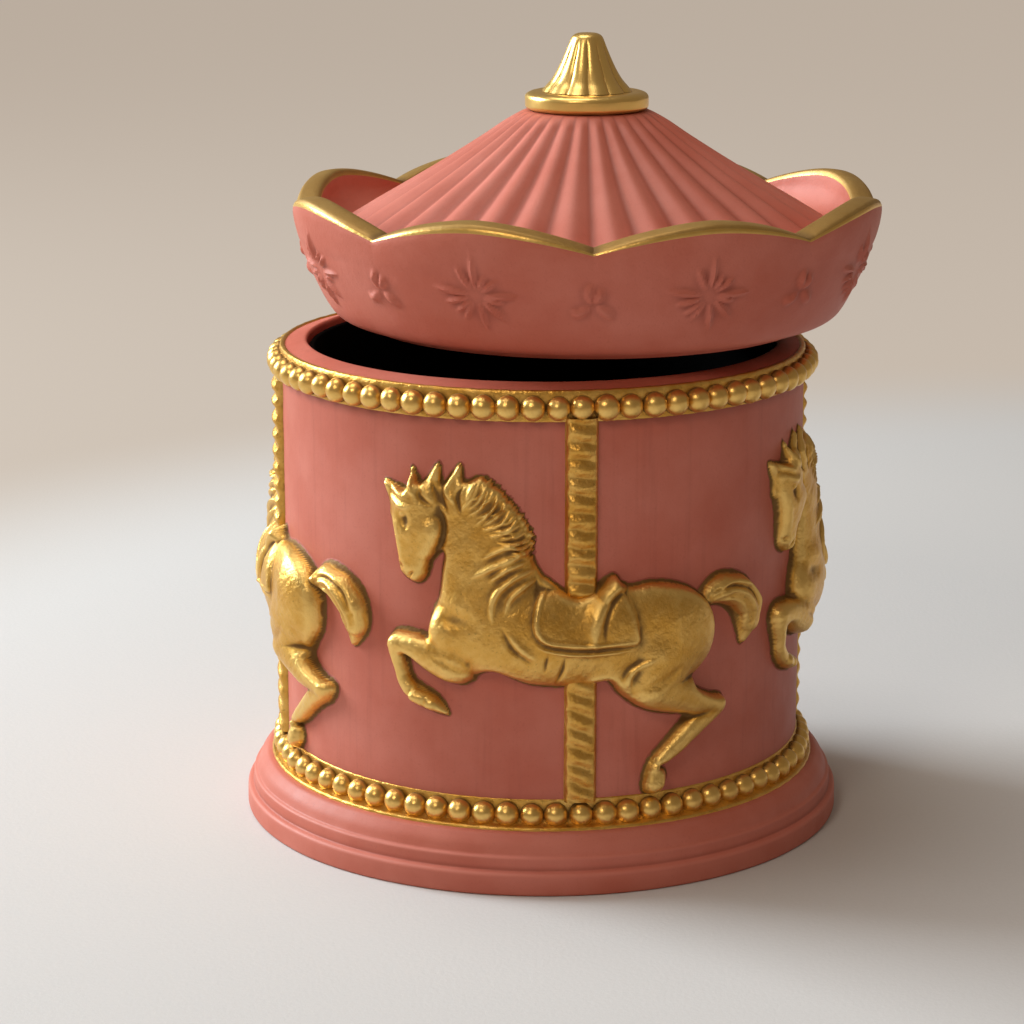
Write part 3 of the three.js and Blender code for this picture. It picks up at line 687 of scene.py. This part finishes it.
# How wide a fillet joins each body to those before it.
FILLETS = {"rump": 2.4, "neck": 1.6, "thigh": 0.8, "flank": 0.8, "head": 0.8, "jaw": 0.8,
           "forearm": 0.8, "hock": 0.5, "hind_hoof": 0.5, "shin": 0.5, "fore_hoof": 0.5,
           "tail": 0.5}
# Lines on the relief as (points, width, height); a negative height engraves the line.
RIDGES = [
    # the locks that lie over the neck
    ([(-11.0, 75.6), (-14.5, 74.4), (-18.5, 72.6), (-22.6, 70.2)], 0.85, 1.1),
    ([(-12.0, 73.4), (-15.5, 72.2), (-19.0, 69.6)], 0.75, 1.0),
    ([(-10.2, 71.6), (-14.0, 70.2), (-17.3, 67.4), (-18.6, 64.0), (-18.4, 60.8)], 0.75, 1.1),
    ([(-9.6, 69.6), (-12.4, 68.0), (-15.0, 65.6), (-16.0, 62.4)], 0.65, 0.9),
    ([(-13.0, 77.6), (-16.5, 76.6), (-20.6, 74.4)], 0.6, 0.75),
    # a crease behind the shoulder, the fold of the chest and the fold of the thigh
    ([(-15.0, 58.0), (-12.4, 54.6), (-9.2, 52.2)], 0.9, 0.5),
    ([(-16.8, 60.0), (-14.6, 55.2), (-10.6, 51.4)], 0.7, -0.5),
    ([(-23.0, 47.6), (-26.4, 49.4), (-31.2, 51.6)], 0.9, -0.45),
    ([(14.6, 51.4), (11.2, 49.6), (9.5, 47.2), (9.6, 44.4)], 0.85, 0.75),
    ([(13.2, 51.6), (9.4, 49.4), (7.8, 46.4)], 0.8, -0.4),
    ([(12.0, 44.5), (16.5, 46.2), (20.5, 49.2)], 1.3, -0.45),
    # face: nasal bone, brow, eye, the edge of the cheek, nostril and mouth
    ([(-41.8, 82.4), (-40.2, 78.0), (-39.4, 72.4)], 1.0, 0.5),
    ([(-40.4, 85.2), (-38.4, 84.2), (-36.4, 84.8)], 0.7, 0.65),
    ([(-39.2, 83.2), (-38.0, 81.6), (-37.4, 79.4)], 1.0, -0.75),
    ([(-38.9, 82.7), (-38.1, 82.3)], 0.55, 0.7),
    ([(-30.6, 84.4), (-29.6, 80.6), (-30.4, 76.4), (-32.2, 74.6)], 0.8, -0.85),
    ([(-39.9, 70.9), (-39.4, 70.3)], 0.6, -0.8),
    ([(-38.0, 67.6), (-37.2, 68.9), (-36.2, 69.9)], 0.42, -0.7),
    # ears and tufts
    ([(-44.4, 88.7), (-41.6, 88.0), (-38.6, 86.4)], 0.45, 0.75),
    ([(-43.2, 86.8), (-40.6, 86.2), (-38.8, 84.9)], 0.7, -0.5),
    ([(-37.6, 91.8), (-37.2, 89.2), (-35.6, 86.8)], 0.5, 0.7),
    ([(-31.5, 93.2), (-32.6, 90.4), (-32.4, 87.6)], 0.55, 0.8),
    ([(-26.6, 93.2), (-28.4, 90.6), (-29.0, 88.0), (-27.0, 85.8)], 0.6, 0.8),
    ([(-22.2, 91.2), (-23.4, 88.8), (-24.4, 86.2)], 0.55, 0.8),
    ([(-34.8, 88.8), (-34.4, 86.6), (-32.0, 84.8)], 0.6, -0.8),
    ([(-30.0, 88.8), (-30.4, 86.6), (-28.6, 84.0)], 0.6, -0.8),
    ([(-25.2, 89.8), (-26.4, 87.2), (-25.6, 83.6)], 0.6, -0.8),
    # saddle: the cantle's roll and the groove behind it, the piping, the pad's edge, the girth
    ([(2.2, 54.9), (2.0, 58.4), (2.8, 62.2), (4.8, 65.4), (7.6, 68.2)], 1.5, 1.15),
    ([(4.2, 56.4), (4.3, 59.8), (5.6, 63.4), (8.0, 66.2)], 0.7, -0.5),
    ([(-7.0, 68.4), (-8.6, 65.4), (-9.5, 61.8), (-9.1, 58.6), (-7.2, 56.6), (-3.4, 55.9),
      (2.0, 55.5), (10.6, 55.9)], 0.5, 0.55),
    ([(-10.8, 57.2), (-8.4, 54.9), (-3.8, 53.7), (2.0, 53.3), (10.8, 53.9)], 0.42, 0.55),
    ([(-7.3, 53.4), (-7.7, 51.4), (-7.9, 49.4)], 0.40, -0.5),
    ([(-3.9, 52.8), (-4.4, 49.6), (-5.8, 45.8)], 0.50, -0.6),
    ([(9.4, 66.4), (10.4, 62.6), (11.1, 58.6), (11.2, 55.6)], 0.4, 0.45),
    # the hind hoof's coronet, the fore hoof's, and strands of the tail
    ([(14.2, 24.2), (17.0, 25.3), (19.2, 24.2)], 0.5, 0.5),
    ([(-33.9, 41.9), (-34.5, 38.9)], 0.5, -0.5),
    ([(29.8, 62.6), (35.0, 65.4), (40.6, 64.0), (44.2, 59.6), (44.6, 55.2)], 0.55, 0.6),
    ([(30.4, 61.8), (35.6, 63.4), (39.6, 61.2), (42.2, 56.8), (42.2, 52.2)], 0.5, 0.55),
    ([(32.0, 61.2), (36.4, 61.2), (39.6, 58.0), (40.6, 54.0)], 0.5, 0.5),
    ([(30.2, 63.8), (35.6, 64.4), (40.8, 62.4), (43.6, 57.6)], 0.5, -0.6),
    ([(34.0, 62.4), (38.2, 60.2), (41.0, 55.6)], 0.45, -0.5),
]


MANE_STRANDS = 21


def mane_strands():
    """Fine curved strands between the neck and the crest."""
    inner = spline([(-25.5, 84.5), (-22.0, 81.0), (-18.6, 78.4), (-15.6, 75.6)], 8)
    outer = spline([(-21.4, 91.0), (-17.6, 88.4), (-13.8, 84.0), (-11.0, 79.0), (-10.8, 76.0)], 8)
    strands = []
    for i in range(MANE_STRANDS):
        part = i / (MANE_STRANDS - 1)
        start = inner[int(part * (len(inner) - 1))]
        end = outer[int(part * (len(outer) - 1))]
        sag = np.array([0.9, -0.9]) * (1 if i % 2 else 0.5)
        start = start + (end - start) * (0.0, 0.42, 0.18)[i % 3]
        strands.append(([start, (start + end) / 2 + sag, end], 0.30, (0.62, 0.45, 0.75)[i % 3]))
    return strands


HORSE_CELL = 0.3


def horse_heights():
    """The horse's heights over the wall, and its layers."""
    x, z = np.meshgrid(np.arange(-47.5, 49.0, HORSE_CELL), np.arange(16.8, 96.4, HORSE_CELL))
    outline = CREST + SADDLE_TOP + CROUP + HIND_LEG + BELLY + FORE_LEG + FACE
    outline, tail = spline(outline, 4, closed=True), spline(TAIL, 4, closed=True)
    inside = np.maximum(depth_inside(x, z, outline), depth_inside(x, z, tail))
    # the crest is frayed into locks
    crest = ease(x, -23.0, -19.0) * ease(-x, 8.6, 9.6) * ease(z, 73.0, 75.0)
    inside = inside + 0.45 * crest * ripple(x * 2.6, z * 2.9, 3.0) * ease(np.abs(inside), 2.0, 0.4)
    bodies = {key: limb(x, z, stations) for key, stations in SHAPES.items()}
    height = bodies["torso"]
    for key, reach in FILLETS.items():
        height = melt(height, bodies[key], reach)
    # the saddle's flap stands up and its seat is sunk between the pommel and the cantle
    saddle = depth_inside(x, z, spline(FLAP, 4, closed=True))
    height = height + 0.75 * ease(saddle, -0.25, 0.55)
    seat = np.exp(-(((x + 2.5) / 4.4) ** 2) - ((z - 61.5) / 5.0) ** 2)
    height = height - 0.9 * seat * ease(saddle, 0.0, 1.5)
    height = melt(height, bodies["cantle"], 1.2)
    # the hollow of the chest and the muscle over it
    height = height - 0.85 * np.exp(-(((x + 26.5) / 3.2) ** 2) - ((z - 60.2) / 1.7) ** 2)
    height = height + 0.75 * np.exp(-(((x + 24.5) / 4.8) ** 2) - ((z - 63.6) / 2.6) ** 2)
    for points, width, rise in RIDGES + mane_strands():
        height = height + stroke(x, z, points, width, rise)
    height = height + 0.05 * ripple(x * 1.1, z * 1.0, 5.0) + 0.03 * ripple(x * 3.1, z * 2.7, 2.0)
    # the rim is rounded down to the wall, and a thin apron runs out and dips under it
    edge = np.sqrt(np.clip(1 - (1 - np.clip(inside / 1.35, 0, 1)) ** 2, 0, 1))
    height = edge * np.maximum(height, 1.5)
    apron = 0.22 * np.exp(inside / 0.35) - 0.55 * ease(-inside, 0.5, 1.6)
    height = np.where(inside > 0, np.maximum(height, 0.22), apron)
    # painted shade in the relief's hollows and round its foot on the wall, painted highlights on
    # its crests
    hollow = (softened(height, 14) - height) * 2.4 + (softened(height, 60) - height) * 0.9
    shade = np.exp(-(((inside + 0.05) / 0.3) ** 2)) + 0.45 * ease(inside, -1.8, -0.8)
    hollow = np.where(inside < 0, shade, np.clip(hollow, -1, 1))
    gilt = 1.6 * (inside + 0.34) + 0.3 * ripple(x * 2.1, z * 2.3, 7.0)
    return (x, z), height, hollow, gilt


HORSE = horse_heights()
for number in range(HORSES):
    turn = FIRST_POLE_ANGLE + number * TURN / HORSES
    for part, made in (("horse", HORSE), ("pole_upper", UPPER_POLE), ("pole_lower", LOWER_POLE)):
        across, height, hollow, gilt = made
        relief(f"{part}_relief_{number + 1}", across, height, turn, GILDED, "antique_gold",
               [f"{part}_{number + 1}"], hollow=hollow, gilt=gilt)


# ---------------------------------------------------------------- lid


def swell(angle):
    """How far up a scallop an angle is: 0 at the sharp valleys, 1 at the rounded peaks."""
    place = np.abs((angle / TURN * SCALLOPS + 0.5) % 1 - 0.5) * 2
    return 1 - (1 - place) ** 1.7


# The star's rays as (direction in degrees, length), and the trefoil's three petals and bud.
STAR_RAYS = [(2, 9.4), (36, 6.2), (62, 5.0), (91, 7.4), (121, 6.8), (170, 9.6), (193, 7.4),
             (217, 6.4), (238, 6.2), (282, 8.0), (320, 8.6), (347, 6.0)]
TREFOIL = [[(-0.3, 0.6), (-0.9, 2.6), (-0.5, 4.6)], [(-1.0, -0.6), (-3.0, -1.9), (-4.4, -1.2)],
           [(0.9, -0.4), (2.8, -1.7), (4.4, -3.0)], [(0.4, 0.8), (1.4, 2.2), (1.2, 3.4)]]


def ornaments(x, z):
    """Low stars over the peaks and trefoils over the valleys; x runs along the valance."""
    pitch = TURN * ORNAMENT_RADIUS / SCALLOPS
    over_valley = (x + pitch / 2) % pitch - pitch / 2
    over_peak = x % pitch - pitch / 2
    height = np.zeros(x.shape)
    for turn, reach in STAR_RAYS:
        way = np.array([math.cos(math.radians(turn)), math.sin(math.radians(turn))])
        ray = [way * 1.9, way * (0.5 * reach + 0.9), way * reach]
        height = np.maximum(height, stroke(over_peak, z, ray, 0.60, 0.80))
    for petal in TREFOIL:
        height = np.maximum(height, stroke(over_valley, z + 1.2, petal, 0.85, 0.95))
    return height


def scalloped(radius, angle, level):
    """Radius and level of the valance's points, whose upper part follows the scallops."""
    part = np.clip((level - SCALLOP_FOOT) / SCALLOP_REACH, 0, 1)
    rise = swell(angle)
    return radius + SCALLOP_OUT * part * rise, level + SCALLOP_UP * part * part * rise


def on_lid(radius, angle, level):
    """Points from the radius, angle and level of the lid's tables."""
    return polar(radius, angle, level + LID_Z) + np.array([LID_X, 0, 0])


outer_wall = spline([(53.4, 0.0), (55.6, 0.15), (57.6, 1.1), (59.2, 3.0), (61.0, 6.2), (63.0, 10.4),
                     (64.6, 14.4), (65.8, 18.2), (66.4, 21.0)], 9)
bottom_lip = spline([(49.5, 3.0), (49.5, -1.2), (50.0, -1.5), (51.2, -1.5), (53.0, -0.1)], 3)
rim_edge = spline([(66.5, 21.8), (66.55, 22.6), (66.4, 23.3)], 3)
rim_top = spline([(66.1, 23.6), (65.3, 23.95), (63.9, 24.25), (62.4, 24.4), (61.3, 24.2),
                  (60.9, 23.8)], 3)
rim_inner = spline([(60.7, 23.2), (60.4, 22.0), (59.2, 20.6), (57.2, 19.2), (54.0, 18.2)], 4)
inner_wall = np.array([(54.0, 15.0), (55.5, 12.0), (54.5, 6.0), (51.5, 3.0)])
sections = [bottom_lip, outer_wall, rim_edge, rim_top, rim_inner, inner_wall]
valance = np.concatenate(sections)
starts = np.cumsum([0] + [len(s) for s in sections])

ring, angle, level = swept(valance, SCALLOPS * 94)
raised = np.zeros(ring.shape)
face = slice(starts[1], starts[2])
raised[face] = ornaments(angle[face] * ORNAMENT_RADIUS, level[face] - ORNAMENT_LEVEL)
ring, level = scalloped(ring, angle, level)
ring = ring + raised + 0.06 * ripple(angle * 12, level * 0.4, 3.0)
level = level - 0.35 * raised
rows = np.arange(len(valance))[:, None]
# the top of the rim is gilt, browner in the valleys; the gilt at its outer edge has a painted
# highlight
on_top = np.minimum(rows - starts[3] + 1.6, starts[4] - 0.4 - rows)
gilt = np.broadcast_to(np.clip(on_top, -1, 1), ring.shape)
# the stars and trefoils get painted shade round their feet and painted highlights on their tops
hollow = np.zeros(ring.shape)
hollow[face] = np.clip((softened(raised[face], 12) - raised[face]) * 3.0, -1, 1)
valley = np.exp(-((swell(angle) / 0.09) ** 2))
hollow = np.maximum(hollow, (0.62 + 0.3 * valley) * (rows >= starts[3]) * (rows < starts[4]))
hollow = np.where((rows >= starts[2]) & (rows < starts[3]), -0.8, hollow)
add_piece("lid_rim", on_lid(ring, angle, level), grid_faces(*ring.shape, True, True), GILDED_EVEN,
          "lid", "pink_resin", ["lid_valance"], crease=38, hollow=hollow, gilt=gilt)

roof_line = spline([(58.6, 18.2), (57.4, 20.0), (50.0, 24.6), (42.5, 29.0), (33.4, 34.4),
                    (24.2, 40.2), (19.0, 43.7), (15.9, 45.5), (14.4, 46.2)], 9)
roof_back = np.array([(13.0, 46.4), (13.0, 44.5), (24.0, 37.0), (42.5, 26.0), (54.0, 18.6)])
roof = np.concatenate([roof_line, roof_back])
ring, angle, level = swept(roof, FLUTES * 18)
front = np.arange(len(roof))[:, None] < len(roof_line)
sway = 0.012 * ripple(angle * 5, level * 0.12, 6.0)
rib = np.abs(np.sin((angle + sway) * FLUTES / 2)) ** 1.5
deep = 0.036 * ring * ease(level, 46.3, 44.0) * (0.94 + 0.06 * np.sin(angle * 7))
sunk = (1 - rib) * deep * front
ring, level = ring - 0.45 * sunk, level - 0.80 * sunk
# painted shade in the grooves of the flutes, painted highlights on their ribs
hollow = np.where(front, np.clip(0.95 * (1 - rib) ** 2 - 0.3, -1, 1), 0)
add_piece("lid_fluted_roof", on_lid(ring, angle, level), grid_faces(*ring.shape, True, True),
          PINK_SMOOTH, "lid", "pink_resin", ["lid_roof"], crease=60, hollow=hollow)

collar = divided(rounded([(3.0, 46.35, 0.2), (12.6, 46.35, 0.4), (14.05, 46.9, 1.0),
                          (14.1, 49.8, 1.4), (12.8, 50.6, 1.0), (3.0, 50.6, 0.2)], 6), 0.9)
ring, angle, level = swept(collar, 192)
level = level + 0.05 * ripple(angle * 8, angle * 5, 1.0)
ring = ring + 0.05 * ripple(angle * 6, level, 2.0)
# painted shade under the collar, painted highlight over the rest of it
add_piece("finial_collar", on_lid(ring, angle, level), grid_faces(*ring.shape, True, True),
          GILDED_BRIGHT, "lid", "bright_gold", ["finial_ring"],
          hollow=np.where(level < 47.2, 0.4, -0.55), gilt=np.ones(ring.shape))

spire_line = spline([(10.35, 50.7), (9.4, 51.8), (8.2, 53.2), (6.9, 55.3), (5.6, 58.0), (4.6, 60.3),
                     (3.8, 62.2), (3.2, 63.1), (2.2, 63.6), (0.9, 63.7)], 7)
spire = np.concatenate([spire_line, [(0.3, 63.7), (0.3, 50.8), (9.0, 50.7)]])
ring, angle, level = swept(spire, 280)
sway = 0.03 * ripple(angle * 3, level * 0.3, 4.0)
drape = np.abs(np.sin((angle + sway) * FINIAL_FOLDS / 2)) ** 0.6
fold = (1 - drape) * ease(level, 63.0, 60.5) * ease(ring, 1.0, 4.0)
# painted shade in the folds, painted highlights on the faces between them
hollow = np.clip(1.7 * fold**1.6 - 0.75, -1, 1)
ring = ring * (1 - 0.075 * fold)
add_piece("finial_drapery", on_lid(ring, angle, level), grid_faces(*ring.shape, True, True),
          GILDED_BRIGHT, "lid", "bright_gold", ["finial_spire"], crease=60, hollow=hollow,
          gilt=np.ones(ring.shape))


# ---------------------------------------------------------------- pieces kept from the CAD


def dress(look, *names):
    """Gives CAD nodes their material."""
    for name in names:
        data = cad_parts[name].data
        data.materials.clear()
        data.materials.append(look)


dress(BLACK_FLOCK, "lid_liner")
dress(BOARD, "well_floor", "bottom_plate")
dress(BROWN_FELT, "felt_pad")
dress(BRASS, "movement_bedplate", "spring_barrel", "winding_key", "crown_gear",
      "music_cylinder", "cylinder_gear", "intermediate_wheel", "governor_fly",
      "cylinder_bearing_back", "cylinder_bearing_front", "comb_block", "governor_bracket")
dress(STEEL, "bottom_screw_1", "bottom_screw_2", "bottom_screw_3", "bottom_screw_4",
      "movement_screw_1", "movement_screw_2", "movement_screw_3", "mainspring", "music_comb",
      "comb_screw_1", "comb_screw_2", "winding_arbor", "cylinder_arbor", "governor_worm",
      "finial_stud", "finial_nut")


# ---------------------------------------------------------------- floor, light and camera

# The floor is a pale cloth near the box. Far out it glows faintly, so that it stands in for the
# plain wall behind, and at its edge it meets the colour of the room.
BACKDROP = (0.46, 0.39, 0.325, 1)
BACKDROP_EDGE = (0.18, 0.146, 0.11, 1)
CLOTH_SHADES = (0.61, 0.60, 0.60, 1), (0.65, 0.64, 0.64, 1)

floor_mesh = bpy.data.meshes.new("floor")
rings = np.concatenate([[0.05], np.geomspace(0.3, 6.0, 9)])
reach, around = np.meshgrid(rings, np.arange(96) / 96 * TURN, indexing="ij")
floor_points = polar(reach, around, 0.0 * reach).reshape(-1, 3)
floor_mesh.from_pydata(floor_points.tolist(), [], grid_faces(len(rings), 96, False, True).tolist())
floor_mesh.flip_normals()
floor = bpy.data.objects.new("floor", floor_mesh)
bpy.context.scene.collection.objects.link(floor)

cloth, tree = new_look("pale_cloth")
place = node(tree, "ShaderNodeTexCoord", {}).outputs["Object"]
place = node(tree, "ShaderNodeVectorMath", {0: place, 1: (0.25, -0.05, 0)}, operation="DISTANCE")
far = ramp(tree, place.outputs["Value"], 0.44, 0.60)
backdrop = ramp(tree, place.outputs["Value"], 2.9, 5.2)
backdrop = mix_colour(tree, backdrop, BACKDROP, BACKDROP_EDGE)
weave = noise(tree, 900, 3, 0.6)
near_colour = mix_colour(tree, weave, *CLOTH_SHADES)
surface(tree, {"Base Color": mix_colour(tree, far, near_colour, (0.10, 0.09, 0.08, 1)),
               "Roughness": 0.9, "Normal": bump(tree, weave, 0.0002, 0.3),
               "Emission Color": mix_colour(tree, far, (0, 0, 0, 1), backdrop),
               "Emission Strength": 1.0})
floor_mesh.materials.append(cloth)

world = bpy.data.worlds.new("room")
world.use_nodes = True
background = world.node_tree.nodes["Background"]
background.inputs["Color"].default_value = (0.94, 0.77, 0.59, 1)
background.inputs["Strength"].default_value = 0.21
bpy.context.scene.world = world


def softbox(name, place, aim, size, watts, colour):
    """A square area light at a place, turned towards a point."""
    light = bpy.data.lights.new(name, "AREA")
    light.size = size
    light.energy = watts
    light.color = colour
    lamp = bpy.data.objects.new(name, light)
    bpy.context.scene.collection.objects.link(lamp)
    lamp.location = place
    way = np.array(aim) - np.array(place)
    lamp.rotation_euler = (
        math.atan2(math.hypot(way[0], way[1]), -way[2]),
        0,
        math.atan2(-way[0], way[1]),
    )


softbox("window", (-1.08, 0.45, 0.60), (0, 0, 0.08), 0.60, 21.5, (0.91, 1.0, 1.04))
softbox("front", (-0.45, -0.90, 0.85), (0, 0, 0.08), 0.30, 2.5, (1.0, 0.89, 0.74))
softbox("ceiling", (-0.3, 0.1, 1.5), (0, 0, 0.1), 0.8, 7.8, (1.0, 0.96, 0.92))

CAMERA_PLACE = (-0.0070, -0.6843, 0.2377)
CAMERA_DIP = 13.84  # degrees under the horizontal

camera_data = bpy.data.cameras.new("camera")
camera_data.lens = 105.47
camera_data.sensor_width = 36.0
camera = bpy.data.objects.new("camera", camera_data)
bpy.context.scene.collection.objects.link(camera)
camera.location = CAMERA_PLACE
camera.rotation_euler = (math.radians(90 - CAMERA_DIP), 0, 0)
bpy.context.scene.camera = camera
bpy.context.scene.view_settings.view_transform = "Standard"
